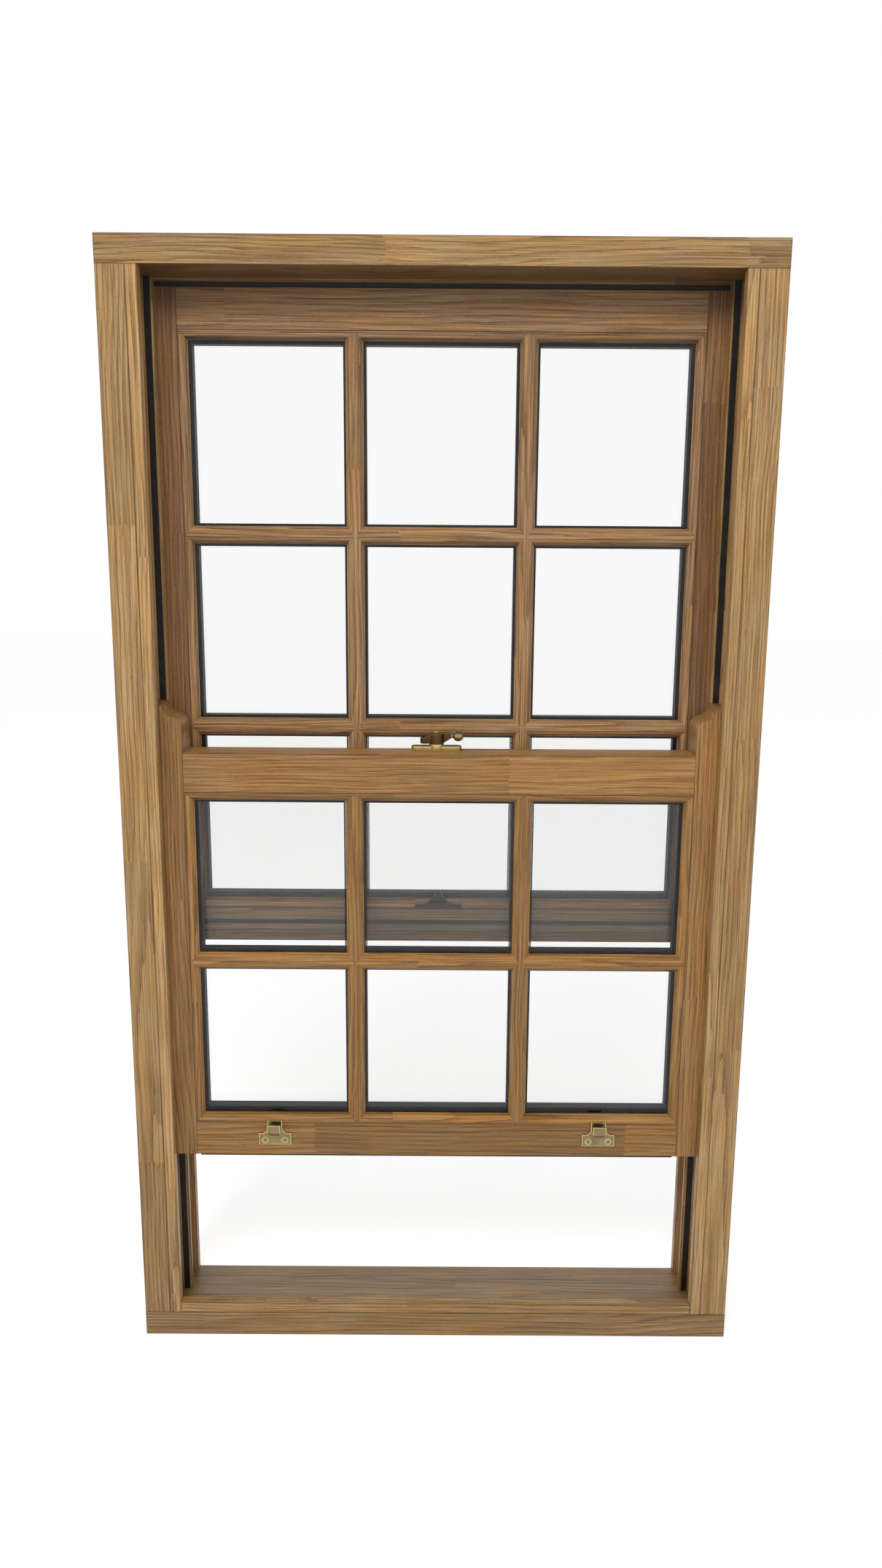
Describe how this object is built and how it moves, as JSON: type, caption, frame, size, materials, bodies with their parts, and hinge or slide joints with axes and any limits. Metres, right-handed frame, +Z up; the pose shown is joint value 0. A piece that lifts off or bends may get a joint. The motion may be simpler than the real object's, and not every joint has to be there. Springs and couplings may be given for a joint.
{
  "type": "sliding sash window",
  "caption": "Double-hung oak sash window with glazing bars, sealed units, hook lifts and a cam-lever fastener",
  "frame": {"origin": "centre of the sill's underside, midway between the frame's front and back faces", "axes": "+X to the right seen from the room, +Y outwards from the room, +Z up"},
  "size_m": [0.9, 0.156, 1.6],
  "materials": {
    "frame_oak": "clear satin varnish over laminated, finger-jointed oak",
    "sash_oak": "clear satin varnish over laminated, finger-jointed oak",
    "upper_oak": "clear satin varnish over laminated, finger-jointed oak",
    "glass": "clear float glass",
    "spacer": "black warm-edge spacer",
    "rubber_seal": "black extruded seal",
    "brush_pile": "black pile strip",
    "antique_brass": "antique brass, dark in the hollows, rubbed bright on the edges",
    "balance_metal": "mill finish",
    "steel_screws": "zinc plated"
  },
  "bodies": {
    "frame": {"jamb_left": "frame_oak", "jamb_right": "frame_oak", "head": "frame_oak", "sill": "frame_oak", "staff_bead_left": "frame_oak", "staff_bead_right": "frame_oak", "staff_bead_bottom": "frame_oak", "parting_bead_left": "frame_oak", "parting_bead_right": "frame_oak", "outer_lining_left": "frame_oak", "outer_lining_right": "frame_oak", "outer_lining_head": "frame_oak", "parting_bead_seals": "rubber_seal", "head_seal": "rubber_seal", "lower_balance_tubes": "balance_metal", "upper_balance_tubes": "balance_metal", "tube_screws": "steel_screws", "frame_screws": "steel_screws"},
    "lower_sash": {"lower_stile_left": "sash_oak", "lower_stile_right": "sash_oak", "lower_top_rail": "sash_oak", "lower_bottom_rail": "sash_oak", "lower_inner_beads": "sash_oak", "lower_outer_beads": "sash_oak", "lower_inner_upright_bars": "sash_oak", "lower_outer_upright_bars": "sash_oak", "lower_inner_cross_bars": "sash_oak", "lower_outer_cross_bars": "sash_oak", "lower_inner_glass": "glass", "lower_outer_glass": "glass", "lower_spacer_grid": "spacer", "bottom_seal": "rubber_seal", "sash_lift_left": "antique_brass", "sash_lift_right": "antique_brass", "lift_screws": "antique_brass", "fastener_base": "antique_brass", "fastener_pivot": "antique_brass", "fastener_screws": "antique_brass", "lower_balance_rods": "balance_metal", "lower_balance_feet": "balance_metal"},
    "fastener_lever": {"fastener_lever": "antique_brass", "fastener_knob": "antique_brass"},
    "upper_sash": {"upper_stile_left": "upper_oak", "upper_stile_right": "upper_oak", "upper_top_rail": "upper_oak", "meeting_rail": "upper_oak", "upper_inner_beads": "upper_oak", "upper_outer_beads": "upper_oak", "upper_inner_upright_bars": "upper_oak", "upper_outer_upright_bars": "upper_oak", "upper_inner_cross_bars": "upper_oak", "upper_outer_cross_bars": "upper_oak", "upper_inner_glass": "glass", "upper_outer_glass": "glass", "upper_spacer_grid": "spacer", "meeting_rail_brush": "brush_pile", "fastener_keeper": "antique_brass", "keeper_screws": "antique_brass", "upper_balance_rods": "balance_metal", "upper_balance_feet": "balance_metal"}
  },
  "joints": [
    {"name": "lower_sash_slide", "type": "slide", "parent": "frame", "child": "lower_sash", "axis": [0, 0, 1], "range_m": [-0.247, 0.319]},
    {"name": "upper_sash_slide", "type": "slide", "parent": "frame", "child": "upper_sash", "axis": [0, 0, 1], "range_m": [-0.545, 0]},
    {"name": "fastener_lever_turn", "type": "hinge", "parent": "lower_sash", "child": "fastener_lever", "pos_m": [-0.004, -0.021, 0.925], "axis": [0, 0, -1], "range_deg": [0, 90]}
  ]
}
